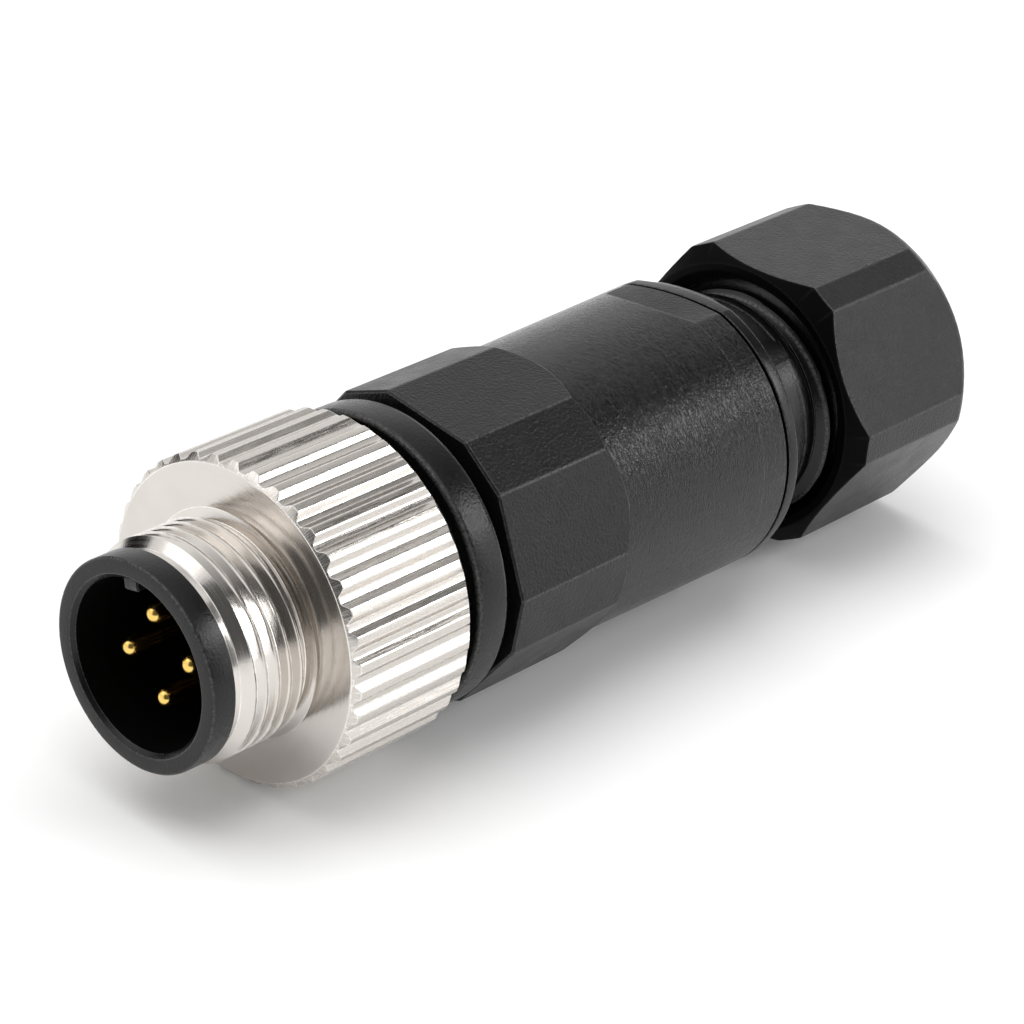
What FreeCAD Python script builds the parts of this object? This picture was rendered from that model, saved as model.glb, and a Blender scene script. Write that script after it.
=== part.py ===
"""Field-wired circular M12 connector, pin side: coupling ring, contact insert, housing and cable gland.

Millimetres. The axis lies along X, from the mating face at -X to the cable end at +X, and +Z is up as the
connector lies on a table. The origin is on the axis, halfway along the coupling thread. Angles round the
axis are in degrees from +Z towards +Y, counter-clockwise as seen from the mating face.
"""
import math
import os
import FreeCAD
import Part

Vector = FreeCAD.Vector
X_AXIS = Vector(1, 0, 0)
CENTRE = Vector(0, 0, 0)

# Clearances shared by the pieces
running_gap = 0.05
slip_gap = 0.02
loose_gap = 0.30
end_gap = 0.10

# Coupling ring: M12 neck, turned shoulder and straight knurl
thread_d = 12.0
thread_depth = 0.55
thread_len = 3.4
lead_len = 0.93
neck_wall = 0.40
undercut_len = 0.58
undercut_depth = 0.35
undercut_run_out = 0.175
neck_foot_rise = 0.20
shoulder_thick = 2.0
knurl_crest_r = 8.98
knurl_depth = 0.30
knurl_teeth = 38
knurl_land_share = 0.30
knurl_floor_share = 0.25
knurl_phase = 4.5
knurl_len = 8.37
knurl_front_drop = 0.40
knurl_front_chamfer = 0.34
knurl_back_chamfer = 0.15
ring_wall = 0.90

# Contact insert: pin carrier with rim, cavity, coding key and terminal block
sleeve_wall = 0.38
rim_height = 0.72
rim_len = 1.47
rim_round = 0.14
mouth_chamfer = 0.24
cavity_depth = 8.8
coding_angle = 13.8
key_width = 1.05
key_height = 0.75
key_setback = 0.6
tail_step = 0.15
carrier_len = 11.4
terminal_web = 0.58
terminal_wall = 0.60
terminal_len = 9.8
tail_lip = 0.7
tail_round = 0.35

# Contact pins and terminal screws
pin_count = 4
pin_d = 1.0
pin_circle_r = 2.25
pin_recess = 1.3
pin_tip_round = 0.45
wire_hole_depth = 6.0
screw_d = 1.4
screw_len = 1.6
screw_setback = 2.6
screw_slot_w = 0.30
screw_slot_depth = 0.45

# Collar behind the ring, its retaining ring and the front seal
ring_gap = 0.99
collar_len = 2.13
collar_round = 0.30
boss_step = 0.8
boss_engagement = 5.63
boss_chamfer = 0.5
clip_thick = 0.6
clip_height = 0.65
clip_groove_depth = 0.35
clip_opening = 60.0
seal_gap = 0.77

# Housing: hexagonal grip and barrel
housing_wall = 1.6
barrel_wall = 1.8
barrel_len = 13.3
barrel_draft = 0.225
hex_len = 8.46
hex_turn = -6.3
hex_flat_rise = 0.04
hex_corner_rise = 0.325
hex_face_inset = 0.12
chamber_gap = 0.5
thread_run_out = 1.3
mill_flat_drop = 0.70
mill_flat_len = 1.9
mill_flat_angle = 7.0
mill_flat_ramp = 41.0

# Gland body: plug, flange ring, neck band and gland thread
parting_gap = 0.22
flange_len = 1.08
flange_chamfer = 0.35
plug_len = 4.6
rear_seal_d = 1.0
rear_seal_setback = 1.6
band_len = 3.55
lug_angle = -37.3
lug_width = 1.2
lug_height = 0.30
lug_len = 2.8
groove_depth = 0.30
groove_len = 0.45
gland_thread_depth = 0.51
gland_thread_len = 5.1
gland_thread_round = 0.25
gland_wall = 1.0
seat_depth = 10.2
cable_passage_r = 3.6

# Inside the gland: cage, rubber seal and pressure ring
cage_wall = 0.75
cage_flange_len = 0.8
cage_flange_height = 1.15
cage_slots = 6
cage_slot_w = 0.6
cage_slot_len = 8.0
cable_r = 3.0
seal_setback = 0.2
seal_round = 0.4
press_thick = 0.9
press_hole_r = 4.4

# Gland nut
nut_wall = 1.185
nut_flat_drop = 0.03
nut_corner_rise = 0.765
nut_start = 0.4
nut_len = 11.0
nut_face_inset = 0.20
nut_mouth_chamfer = 0.55
nut_back_inset = 0.03
nut_back_slope = 35.0
nut_hole_inset = 0.10
nut_hole_chamfer = 0.5
nut_tighten_travel = 2.5

# Places along the axis that follow from the sizes
thread_front = -thread_len / 2
thread_back = thread_len / 2
ring_front = thread_front - lead_len
rim_back = ring_front - end_gap
rim_front = rim_back - rim_len
shoulder_x = thread_back + undercut_len
recess_floor = shoulder_x + shoulder_thick
ring_back = shoulder_x + knurl_len
hub_front = recess_floor + end_gap
collar_front = ring_back + ring_gap
collar_back = collar_front + collar_len
housing_front = collar_back + seal_gap
boss_back = housing_front + boss_engagement
clip_back = boss_back + clip_thick
hex_back = housing_front + hex_len
barrel_back = hex_back + barrel_len
flange_front = barrel_back + parting_gap
flange_back = flange_front + flange_len
plug_front = flange_front - plug_len
rear_seal_x = plug_front + rear_seal_setback
band_back = flange_back + band_len
gland_thread_front = band_back + groove_len
gland_back = gland_thread_front + gland_thread_len
seat_x = gland_back - seat_depth
cage_back = gland_back + cage_flange_len
press_front = cage_back + end_gap + nut_tighten_travel
press_back = press_front + press_thick
nut_front = gland_thread_front + nut_start
nut_back = nut_front + nut_len
nut_shoulder = press_back + running_gap
cavity_floor = rim_front + cavity_depth
terminal_front = cavity_floor + carrier_len
terminal_back = terminal_front + terminal_len
tail_back = terminal_back + tail_lip
screw_x = terminal_back - screw_setback

# Radii that follow from the sizes
thread_r = thread_d / 2
ring_bore_r = thread_r - thread_depth - neck_wall
journal_r = ring_bore_r - running_gap
cavity_r = journal_r - sleeve_wall
rim_r = journal_r + rim_height
tail_r = journal_r - tail_step
clip_groove_r = tail_r - clip_groove_depth
knurl_floor_r = knurl_crest_r - knurl_depth
shoulder_r = knurl_crest_r - knurl_front_drop
recess_r = knurl_floor_r - ring_wall
hub_r = recess_r - loose_gap
pin_r = pin_d / 2
terminal_r = pin_circle_r * math.sin(math.pi / pin_count) - terminal_web / 2
wire_hole_r = terminal_r - terminal_wall
screw_r = screw_d / 2
clip_r = tail_r + clip_height
chamber_r = clip_r + chamber_gap
boss_r = chamber_r + boss_step
housing_thread_r = boss_r + running_gap
body_r = housing_thread_r + housing_wall
barrel_front_r = body_r - barrel_draft
hex_flat_r = barrel_front_r + hex_flat_rise
mill_flat_r = body_r - mill_flat_drop
plug_bore_r = body_r - barrel_wall
plug_r = plug_bore_r - running_gap
rear_seal_r = plug_r - rear_seal_d
nut_flat_r = hex_flat_r - nut_flat_drop
nut_bore_r = nut_flat_r - nut_wall
gland_thread_r = nut_bore_r - running_gap
band_r = gland_thread_r - gland_thread_depth
gland_groove_r = band_r - groove_depth
seat_r = gland_groove_r - gland_wall
cage_r = seat_r - slip_gap
cage_bore_r = cage_r - cage_wall
rubber_r = cage_bore_r - slip_gap
nut_hole_r = press_hole_r - nut_hole_inset
press_r = nut_bore_r - loose_gap


def around(angle, radius):
    """Offset from the axis at an angle from +Z towards +Y."""
    turn = math.radians(angle)
    return Vector(0, radius * math.sin(turn), radius * math.cos(turn))


def turned(shape, angle):
    """A copy of a shape made at +Z, turned round the axis to an angle."""
    copy = shape.copy()
    copy.rotate(CENTRE, X_AXIS, -angle)
    return copy


def corner_arc(before, corner, after, radius):
    """Start, middle and end of the tangent arc that rounds a corner."""
    to_before = (before - corner).normalize()
    to_after = (after - corner).normalize()
    half = to_before.getAngle(to_after) / 2
    reach = radius / math.tan(half)
    bisector = (to_before + to_after).normalize()
    middle = corner + bisector * (radius / math.sin(half) - radius)
    return corner + to_before * reach, middle, corner + to_after * reach


def outline(corners):
    """Closed wire in the XZ plane from (x, z) corners, or (x, z, radius) corners that are rounded."""
    points = [Vector(corner[0], 0, corner[1]) for corner in corners]
    arcs = []
    for i, corner in enumerate(corners):
        if len(corner) > 2:
            arcs.append(corner_arc(points[i - 1], points[i], points[(i + 1) % len(points)], corner[2]))
        else:
            arcs.append((points[i], None, points[i]))
    edges = []
    for i, (start, middle, end) in enumerate(arcs):
        if middle is not None:
            edges.append(Part.Arc(start, middle, end).toShape())
        following = arcs[(i + 1) % len(arcs)][0]
        edges.append(Part.LineSegment(end, following).toShape())
    return Part.Wire(edges)


def revolved(corners):
    """Solid of revolution about the connector's axis from an (x, radius) outline."""
    return Part.Face(outline(corners)).revolve(CENTRE, X_AXIS, 360)


def rod(x0, x1, radius, place=CENTRE):
    """Round bar along X."""
    return Part.makeCylinder(radius, x1 - x0, Vector(x0, 0, 0) + place, X_AXIS)


def round_ring(x, inner_r, section_d):
    """Ring of round section about the axis, lying on an inner radius."""
    return Part.makeTorus(inner_r + section_d / 2, section_d / 2, Vector(x, 0, 0), X_AXIS)


def prism(corners, x0, x1):
    """Bar along X whose section has (angle, radius) corners."""
    points = [Vector(x0, 0, 0) + around(angle, radius) for angle, radius in corners]
    return Part.Face(Part.makePolygon(points + points[:1])).extrude(Vector(x1 - x0, 0, 0))


def sharp_corner(flat_r):
    """Radius of a hexagon's corners, from the distance of its flats."""
    return flat_r / math.cos(math.pi / 6)


def hexagon_bar(flat_r, turn, x0, x1):
    """Hexagonal bar with one flat facing the turn angle."""
    corner_r = sharp_corner(flat_r)
    return prism([(turn + 30 + side * 60, corner_r) for side in range(6)], x0, x1)


def cut_hexagon(flat_r, corner_rise, turn, x0, x1):
    """Hexagonal bar whose corners are cut by six more flats that lie corner_rise further out."""
    corner_flats = hexagon_bar(flat_r + corner_rise, turn + 30, x0, x1)
    return hexagon_bar(flat_r, turn, x0, x1).common(corner_flats)


def knurl_bar(x0, x1):
    """Toothed bar whose trapezoid teeth make the straight knurl; its crests stand proud of the blank."""
    pitch = 360 / knurl_teeth
    land = pitch * knurl_land_share / 2
    foot = pitch * (1 - knurl_floor_share) / 2
    crest_r = knurl_crest_r / math.cos(math.radians(land))
    floor_r = knurl_floor_r / math.cos(math.radians(pitch / 2 - foot))
    corners = []
    for tooth in range(knurl_teeth):
        middle = knurl_phase + tooth * pitch
        corners += [(middle - foot, floor_r), (middle - land, crest_r),
                    (middle + land, crest_r), (middle + foot, floor_r)]
    return prism(corners, x0, x1)


def pin_angle(number):
    return coding_angle + number * 360 / pin_count


def make_coupling_ring():
    lead_r = thread_r - thread_depth
    undercut_r = thread_r - undercut_depth
    blank = revolved([
        (ring_front, ring_bore_r), (ring_front, lead_r), (thread_front, thread_r), (thread_back, thread_r),
        (thread_back + undercut_run_out, undercut_r), (shoulder_x - undercut_run_out, undercut_r),
        (shoulder_x, thread_r + neck_foot_rise), (shoulder_x, shoulder_r),
        (shoulder_x + knurl_front_chamfer, knurl_crest_r), (ring_back - knurl_back_chamfer, knurl_crest_r),
        (ring_back, knurl_crest_r - knurl_back_chamfer), (ring_back, recess_r), (recess_floor, recess_r),
        (recess_floor, ring_bore_r)])
    return blank.common(knurl_bar(ring_front - rim_len, ring_back + rim_len))


def insert_blank():
    """Turned form of the insert: rim, sleeve round the cavity, and tail with the retaining groove."""
    groove_back = clip_back + slip_gap
    return revolved([
        (rim_front, cavity_r + mouth_chamfer), (rim_front, rim_r, rim_round), (rim_back, rim_r),
        (rim_back, journal_r), (hub_front, journal_r), (hub_front, tail_r), (boss_back, tail_r),
        (boss_back, clip_groove_r), (groove_back, clip_groove_r), (groove_back, tail_r),
        (tail_back, tail_r, tail_round), (tail_back, 0), (cavity_floor, 0), (cavity_floor, cavity_r),
        (rim_front + mouth_chamfer, cavity_r)])


def coding_key():
    """Rib inside the cavity, sunk halfway into the sleeve's wall and a little into the floor."""
    front = rim_front + key_setback
    root = sleeve_wall / 2
    rib = Part.makeBox(cavity_floor + root - front, key_width, key_height + root,
                       Vector(front, -key_width / 2, cavity_r - key_height))
    return turned(rib, coding_angle)


def make_contact_insert():
    body = insert_blank().fuse(coding_key())
    for number in range(pin_count):
        outward = around(pin_angle(number), 1)
        place = outward * pin_circle_r
        body = body.cut(rod(cavity_floor, terminal_front, pin_r + slip_gap, place))
        body = body.cut(rod(terminal_front, tail_back, terminal_r + slip_gap, place))
        start = Vector(screw_x, 0, 0) + place
        body = body.cut(Part.makeCylinder(screw_r + running_gap, tail_r - pin_circle_r, start, outward))
    return body


def make_contact_pin(number):
    hole_end = terminal_back - wire_hole_depth
    turned_pin = revolved([
        (rim_front + pin_recess, 0), (rim_front + pin_recess, pin_r, pin_tip_round), (terminal_front, pin_r),
        (terminal_front, terminal_r), (terminal_back, terminal_r), (terminal_back, wire_hole_r),
        (hole_end, wire_hole_r), (hole_end, 0)])
    tapped = Part.makeCylinder(screw_r + slip_gap, terminal_r, Vector(screw_x, 0, 0), Vector(0, 0, 1))
    pin = turned(turned_pin.cut(tapped), pin_angle(number))
    pin.translate(around(pin_angle(number), pin_circle_r))
    return pin


def make_terminal_screw(number):
    tip = pin_circle_r + wire_hole_r
    top = tip + screw_len
    screw = Part.makeCylinder(screw_r, screw_len, Vector(screw_x, 0, tip), Vector(0, 0, 1))
    slot = Part.makeBox(screw_d, screw_slot_w, screw_slot_depth,
                        Vector(screw_x - screw_r, -screw_slot_w / 2, top - screw_slot_depth))
    return turned(screw.cut(slot), pin_angle(number))


def make_collar():
    bore_r = tail_r + slip_gap
    return revolved([
        (hub_front, bore_r), (hub_front, hub_r, collar_round), (collar_front, hub_r),
        (collar_front, body_r, collar_round), (collar_back, body_r, collar_round), (collar_back, boss_r),
        (boss_back - boss_chamfer, boss_r), (boss_back, boss_r - boss_chamfer), (boss_back, bore_r)])


def make_retaining_ring():
    """Open spring ring in the insert's groove, behind the collar."""
    front = boss_back + slip_gap
    ring = rod(front, clip_back, clip_r).cut(rod(front, clip_back, clip_groove_r + slip_gap))
    reach = clip_r / math.cos(math.radians(clip_opening / 2))
    opening = prism([(180, 0), (180 - clip_opening / 2, reach), (180 + clip_opening / 2, reach)],
                    boss_back, clip_back)
    return ring.cut(opening)


def make_front_seal():
    section_d = seal_gap - 2 * running_gap
    return round_ring(collar_back + seal_gap / 2, boss_r + running_gap, section_d)


def mill_flat_cutter():
    """Block that takes the flat off the top of the barrel and of the gland's flange; its front end slopes."""
    width = body_r * 2
    front = barrel_back - mill_flat_len
    height = mill_flat_drop * 2
    slope_len = height / math.tan(math.radians(mill_flat_ramp))
    side = outline([(front, mill_flat_r), (flange_back, mill_flat_r), (flange_back, mill_flat_r + height),
                    (front - slope_len, mill_flat_r + height)])
    block = Part.Face(side).extrude(Vector(0, width, 0))
    block.translate(Vector(0, -width / 2, 0))
    return turned(block, mill_flat_angle)


def make_housing():
    face_r = hex_flat_r - hex_face_inset
    corner_r = sharp_corner(hex_flat_r)
    chamfer = corner_r - face_r
    grip = cut_hexagon(hex_flat_r, hex_corner_rise, hex_turn, housing_front, hex_back)
    chamfered = revolved([(housing_front, 0), (housing_front, face_r), (housing_front + chamfer, corner_r),
                          (hex_back, corner_r), (hex_back, 0)])
    inside_grip = hex_back - hex_len / 2
    barrel = revolved([(inside_grip, 0), (inside_grip, barrel_front_r), (hex_back, barrel_front_r),
                       (barrel_back, body_r), (barrel_back, 0)])
    body = grip.common(chamfered).fuse(barrel)
    thread_end = boss_back + thread_run_out
    body = body.cut(rod(housing_front, thread_end, housing_thread_r))
    body = body.cut(rod(thread_end, plug_front, chamber_r))
    body = body.cut(rod(plug_front, barrel_back, plug_bore_r))
    return body.cut(mill_flat_cutter())


def make_gland_body():
    seal_half = rear_seal_d / 2 + slip_gap
    body = revolved([
        (plug_front, cable_passage_r), (plug_front, plug_r), (rear_seal_x - seal_half, plug_r),
        (rear_seal_x - seal_half, rear_seal_r), (rear_seal_x + seal_half, rear_seal_r),
        (rear_seal_x + seal_half, plug_r), (flange_front, plug_r), (flange_front, body_r),
        (flange_back - flange_chamfer, body_r), (flange_back, body_r - flange_chamfer),
        (flange_back, band_r), (band_back, band_r), (band_back, gland_groove_r),
        (gland_thread_front, gland_groove_r), (gland_thread_front, gland_thread_r, gland_thread_round),
        (gland_back, gland_thread_r, gland_thread_round), (gland_back, seat_r), (seat_x, seat_r),
        (seat_x, cable_passage_r)])
    lug = Part.makeBox(lug_len, lug_width, lug_height * 2,
                       Vector(flange_back, -lug_width / 2, band_r - lug_height))
    body = body.fuse(turned(lug, lug_angle))
    return body.cut(mill_flat_cutter())


def make_rear_seal():
    return round_ring(rear_seal_x, rear_seal_r, rear_seal_d)


def make_clamp_cage():
    flange_r = cage_r + cage_flange_height
    cage = revolved([(seat_x, cage_bore_r), (seat_x, cage_r), (gland_back, cage_r), (gland_back, flange_r),
                     (cage_back, flange_r), (cage_back, cage_bore_r)])
    slot = Part.makeBox(cage_slot_len, cage_slot_w, cage_r * 2, Vector(seat_x, -cage_slot_w / 2, 0))
    for number in range(cage_slots):
        cage = cage.cut(turned(slot, number * 360 / cage_slots))
    return cage


def make_gland_seal():
    seal_back = gland_back - seal_setback
    return revolved([(seat_x, cable_r), (seat_x, rubber_r, seal_round), (seal_back, rubber_r, seal_round),
                     (seal_back, cable_r)])


def make_pressure_ring():
    return rod(press_front, press_back, press_r).cut(rod(press_front, press_back, press_hole_r))


def make_gland_nut():
    corner_r = sharp_corner(nut_flat_r)
    face_r = nut_flat_r - nut_face_inset
    back_r = nut_flat_r - nut_back_inset
    back_chamfer = (corner_r - back_r) / math.tan(math.radians(nut_back_slope))
    bar = cut_hexagon(nut_flat_r, nut_corner_rise, 0, nut_front, nut_back)
    chamfered = revolved([(nut_front, 0), (nut_front, face_r), (nut_front + corner_r - face_r, corner_r),
                          (nut_back - back_chamfer, corner_r), (nut_back, back_r), (nut_back, 0)])
    hollow = revolved([
        (nut_front, 0), (nut_front, nut_bore_r + nut_mouth_chamfer),
        (nut_front + nut_mouth_chamfer, nut_bore_r), (nut_shoulder, nut_bore_r), (nut_shoulder, nut_hole_r),
        (nut_back - nut_hole_chamfer, nut_hole_r), (nut_back, nut_hole_r + nut_hole_chamfer), (nut_back, 0)])
    return bar.common(chamfered).cut(hollow)


def make_pieces():
    pieces = {
        "coupling_ring": make_coupling_ring(),
        "contact_insert": make_contact_insert(),
        "collar": make_collar(),
        "retaining_ring": make_retaining_ring(),
        "front_seal": make_front_seal(),
        "housing": make_housing(),
        "gland_body": make_gland_body(),
        "rear_seal": make_rear_seal(),
        "clamp_cage": make_clamp_cage(),
        "gland_seal": make_gland_seal(),
        "pressure_ring": make_pressure_ring(),
        "gland_nut": make_gland_nut(),
    }
    for number in range(pin_count):
        pieces[f"contact_pin_{number + 1}"] = make_contact_pin(number)
        pieces[f"terminal_screw_{number + 1}"] = make_terminal_screw(number)
    return pieces


os.makedirs("parts", exist_ok=True)
for name, shape in make_pieces().items():
    shape.removeSplitter().exportStep(f"parts/{name}.step")
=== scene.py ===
"""Looks of the M12 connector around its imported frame.

The scene is in metres. The forms below are written in millimetres, like the part, and scaled when a mesh
is made. The axis is X, from the mating face to the cable end. Angles round it are in degrees from +Z
towards +Y.
"""
import math
import bmesh
import bpy
from mathutils import Euler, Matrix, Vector


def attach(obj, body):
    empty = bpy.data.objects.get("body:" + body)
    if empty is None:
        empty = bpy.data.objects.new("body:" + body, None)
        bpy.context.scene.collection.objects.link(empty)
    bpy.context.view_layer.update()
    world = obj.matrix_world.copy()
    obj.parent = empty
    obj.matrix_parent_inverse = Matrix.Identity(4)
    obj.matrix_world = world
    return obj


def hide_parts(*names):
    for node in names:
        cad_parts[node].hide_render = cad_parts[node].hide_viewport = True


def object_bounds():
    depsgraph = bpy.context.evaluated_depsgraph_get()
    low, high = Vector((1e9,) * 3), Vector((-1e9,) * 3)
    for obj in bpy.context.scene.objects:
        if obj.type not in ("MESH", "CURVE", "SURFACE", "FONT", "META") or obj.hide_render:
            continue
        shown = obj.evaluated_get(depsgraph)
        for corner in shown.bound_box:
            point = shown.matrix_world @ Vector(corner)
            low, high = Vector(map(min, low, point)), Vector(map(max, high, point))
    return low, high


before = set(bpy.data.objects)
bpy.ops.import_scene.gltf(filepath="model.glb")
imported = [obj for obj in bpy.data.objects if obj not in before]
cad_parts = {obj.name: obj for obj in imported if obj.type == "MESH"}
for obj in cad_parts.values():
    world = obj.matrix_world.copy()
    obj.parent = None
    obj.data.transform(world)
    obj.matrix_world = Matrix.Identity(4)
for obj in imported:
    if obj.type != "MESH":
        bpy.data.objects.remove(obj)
cad_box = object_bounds()
MM = 0.001


def lathe_span(node):
    """Front end, back end and greatest radius of a CAD node."""
    points = [vertex.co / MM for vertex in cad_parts[node].data.vertices]
    ends = [point.x for point in points]
    return min(ends), max(ends), max(math.hypot(point.y, point.z) for point in points)


# A name that ends in EDGE or EDGES holds the lengths over which corners are rounded

# Coupling ring: neck with its thread, shoulder, and knurl, whose half crest and half foot are shares of the
# teeth's pitch
RING_FRONT, RING_BACK, KNURL_R = lathe_span("coupling_ring")
RING_BORE_R = 5.05
RING_EDGE = 0.05
LEAD_R = 5.5
LEAD_EDGE = 0.06
LEAD_CONE = (-2.2, -1.7)
LEAD_CONE_STOP = 0.02
THREAD_BACK = 1.7
THREAD_R = 6.0
THREAD_ROOT_R = 5.85
THREAD_PITCH = 0.79
THREAD_CREST_AT = 1.39
THREAD_SHALLOW = 0.03
THREAD_RUN_OUT_RISE = 1.5
UNDERCUT_R = 5.6
UNDERCUT_RUN_OUT = 0.2
UNDERCUT_EDGE = 0.06
FOOT_R = 6.2
SHOULDER_X = 2.28
SHOULDER_R = 8.58
SHOULDER_RIM = 0.15
RECESS_FLOOR = 4.28
RECESS_R = 7.78
KNURL_DEPTH = 0.30
KNURL_TEETH = 38
KNURL_PHASE = 4.5
KNURL_CHAMFER = 0.34
HALF_CREST_SHARE = 0.15
HALF_FOOT_SHARE = 0.375
KNURL_EDGE = 0.08
KNURL_BACK_RIM = 0.04
KNURL_MATERIAL_RISE = 0.03

# Contact insert: rim, cavity, key, terminal block
RIM_FRONT, TAIL_BACK, RIM_R = lathe_span("contact_insert")
RIM_BACK = -2.73
RIM_EDGE = 0.16
INSERT_EDGE = 0.05
CAVITY_R = 4.62
MOUTH_CHAMFER = 0.24
CAVITY_FLOOR = 4.6
CAVITY_FLOOR_EDGE = 0.15
JOURNAL_R = 5.0
TAIL_R = 4.85
TAIL_EDGE = 0.35
CLIP_GROOVE_R = 4.5
CLIP_GROOVE = (20.17, 20.79)
CODING_ANGLE = 13.8
KEY_WIDTH = 1.05
KEY_HEIGHT = 0.75
KEY_SETBACK = 0.45
KEY_ROOT = 0.2
KEY_BEVEL = 0.09
PIN_TIP, TERMINAL_BACK, _ = lathe_span("contact_pin_1")
PIN_COUNT = 4
PIN_CIRCLE_R = 2.25
PIN_R = 0.5
PIN_TIP_STEPS = 9
TERMINAL_FRONT = 16.0
TERMINAL_R = 1.301
TERMINAL_EDGE = 0.05
WIRE_HOLE_R = 0.701
WIRE_HOLE_END = 19.8
SCREW_X = 23.2
SCREW_R = 0.7
SCREW_HOLE_PLAY = 0.05

# Gap round what sits in a hole, and how far a cutting tool reaches past the face that it cuts
FIT_GAP = 0.02
CUT_PAST = 0.5

# Collar with its threaded boss, and the front seal
HUB_FRONT, BOSS_BACK, BODY_R = lathe_span("collar")
HUB_EDGE = 0.3
COLLAR = (11.64, 13.77)
COLLAR_EDGE = 0.32
COLLAR_FOOT_EDGE = 0.1
COLLAR_HUB_R = 7.48
BOSS_R = 6.8
BOSS_PITCH = 1.0
BOSS_ROOT_R = 6.25
BOSS_PLAIN = 0.6
SEAL_FRONT, SEAL_BACK, SEAL_OUTER_R = lathe_span("front_seal")
SEAL_STEP_ANGLE = 15

# Housing: hexagonal grip and barrel
HOUSING_FRONT, BARREL_BACK, _ = lathe_span("housing")
HOUSING_MOUTH_EDGE = 0.2
HEX_BACK = 23.0
HEX_RUN_OUT = 0.5
HEX_TRIM = 1.75
HEX_BEVEL = 0.12
HEX_EDGE = 0.05
HEX_CORNER_EDGE = 0.12
HEX_TURN = -6.3
HEX_FLAT_R = 8.265
HEX_CORNER_FLAT_R = 8.59
FLAT_PARTS = 10
BARREL_FRONT_R = 8.225
BARREL_BACK_EDGE = 0.09
HOUSING_THREAD_R = 6.85
HOUSING_THREAD_BACK = 21.47
CHAMBER_R = 6.0
PLUG_BORE_R = 6.65
PLUG_BORE_EDGE = 0.06
MILL_FLAT_R = 7.75
MILL_FLAT_FRONT = 34.4
MILL_FLAT_ANGLE = 7.0
MILL_FLAT_RAMP = 28.0
MILL_FLAT_CROWN = 0.4
MILL_FLAT_EDGE = 0.03
MILL_FLAT_REACH = 60
MILL_FLAT_STEPS = (-0.6, -0.2, 0.0, 0.2, 0.6)

# Gland body: plug, flange, neck band, gland thread
PLUG_FRONT, GLAND_BACK, _ = lathe_span("gland_body")
FLANGE = (36.52, 37.6)
FLANGE_CHAMFER = 0.35
FLANGE_EDGES = (0.08, 0.12, 0.1)
FLANGE_FACE_DROP = 0.05
PLUG_R = 6.6
PLUG_EDGE = 0.2
REAR_SEAL_X = 33.52
REAR_SEAL_R = 5.6
REAR_SEAL_HALF = 0.52
CABLE_PASSAGE_R = 3.6
SEAT_R = 5.19
SEAT_EDGE = 0.1
BAND_R = 6.49
BAND_BACK = 41.15
BAND_EDGE = 0.12
LUG_ANGLE = -37.3
LUG_WIDTH = 1.2
LUG_HEIGHT = 0.30
LUG_BACK = 40.4
LUG_BACK_RUN = 0.06
LUG_EDGE = 0.08
LUG_SIDE_START = 0.2
LUG_SIDE_ANGLE = 0.7
LUG_STEPS = (-0.9, -0.5, -0.2, 0.2, 0.5)
# Angle from the lug's sides within which the lug's edges get a painted highlight
LUG_HIGHLIGHT_ANGLE = 0.3
GROOVE_R = 6.19
GROOVE_EDGE = 0.05
GLAND_THREAD_FRONT = 41.6
GLAND_THREAD_R = 7.0
GLAND_THREAD_ROOT_R = 6.25
GLAND_PITCH = 1.5
GLAND_CREST_AT = 0.09

# Inside the gland: rubber seal and pressure ring
GRIP_FRONT, GRIP_BACK, RUBBER_R = lathe_span("gland_seal")
RUBBER_EDGE = 0.4
CABLE_R = 3.0
CABLE_EDGE = 0.3
PRESS_FRONT, PRESS_BACK, PRESS_R = lathe_span("pressure_ring")
PRESS_HOLE_R = 4.4
PRESS_EDGE = 0.08

# Gland nut
NUT_FRONT, NUT_BACK, _ = lathe_span("gland_nut")
NUT_FLAT_R = 8.235
NUT_CORNER_FLAT_R = 9.0
NUT_CORNER_EDGE = 0.14
NUT_FACE_R = 8.035
NUT_FACE_EDGE = 0.07
NUT_FRONT_EDGE = 0.12
NUT_BACK_R = 8.205
NUT_BACK_SLOPE = 35.0
NUT_BACK_EDGES = (0.25, 0.12)
NUT_BORE_R = 7.05
NUT_BORE_EDGE = 0.08
NUT_MOUTH_CHAMFER = 0.55
NUT_MOUTH_EDGE = 0.06
NUT_SHOULDER = 51.05
NUT_HOLE_R = 4.3
NUT_HOLE_CHAMFER = 0.5
NUT_HOLE_EDGES = (0.1, 0.08)

# Columns round a body: most pieces, the threaded boss, and the thin pins; and the sides of a cutting bar
ROUND_COLUMNS = 160
BOSS_COLUMNS = 192
PIN_COLUMNS = 64
BAR_SIDES = 48

# Mesh limits: a rounding takes no more than this share of a side; points this near in metres are one;
# edges that turn by more than this many degrees are shaded as sharp; a shading weight above 50 favours
# large faces
ROUNDING_SHARE = 0.45
SAME_POINT = 1e-9
MERGE_WITHIN = 2e-8
SHARP_FROM = 26.0
SHADING_WEIGHT = 80

# Nickel and gold, each between two shades, and nickel where it is worn and where a highlight is painted on
# its edges
NICKEL_TURNED = ((0.72, 0.685, 0.65), (0.64, 0.605, 0.565))
# Knurled nickel is darker than turned nickel, partly as painted shade for the shaded floor that the knurl
# reflects
NICKEL_KNURLED_AND_SHADED = ((0.69, 0.655, 0.615), (0.54, 0.505, 0.465))
NICKEL_WORN_AND_HIGHLIT = (0.95, 0.93, 0.90)
GOLD = ((1.0, 0.70, 0.22), (0.90, 0.58, 0.13))

# The photograph's camera: its place, its turn and its lens for a square picture
CAMERA_PLACE_MM = (-106.903, -110.271, 94.792)
CAMERA_TURN = (60.5765, -4.9234, -46.9452)
CAMERA_LENS = 126.5625
CAMERA_SENSOR = 36.0

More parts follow.
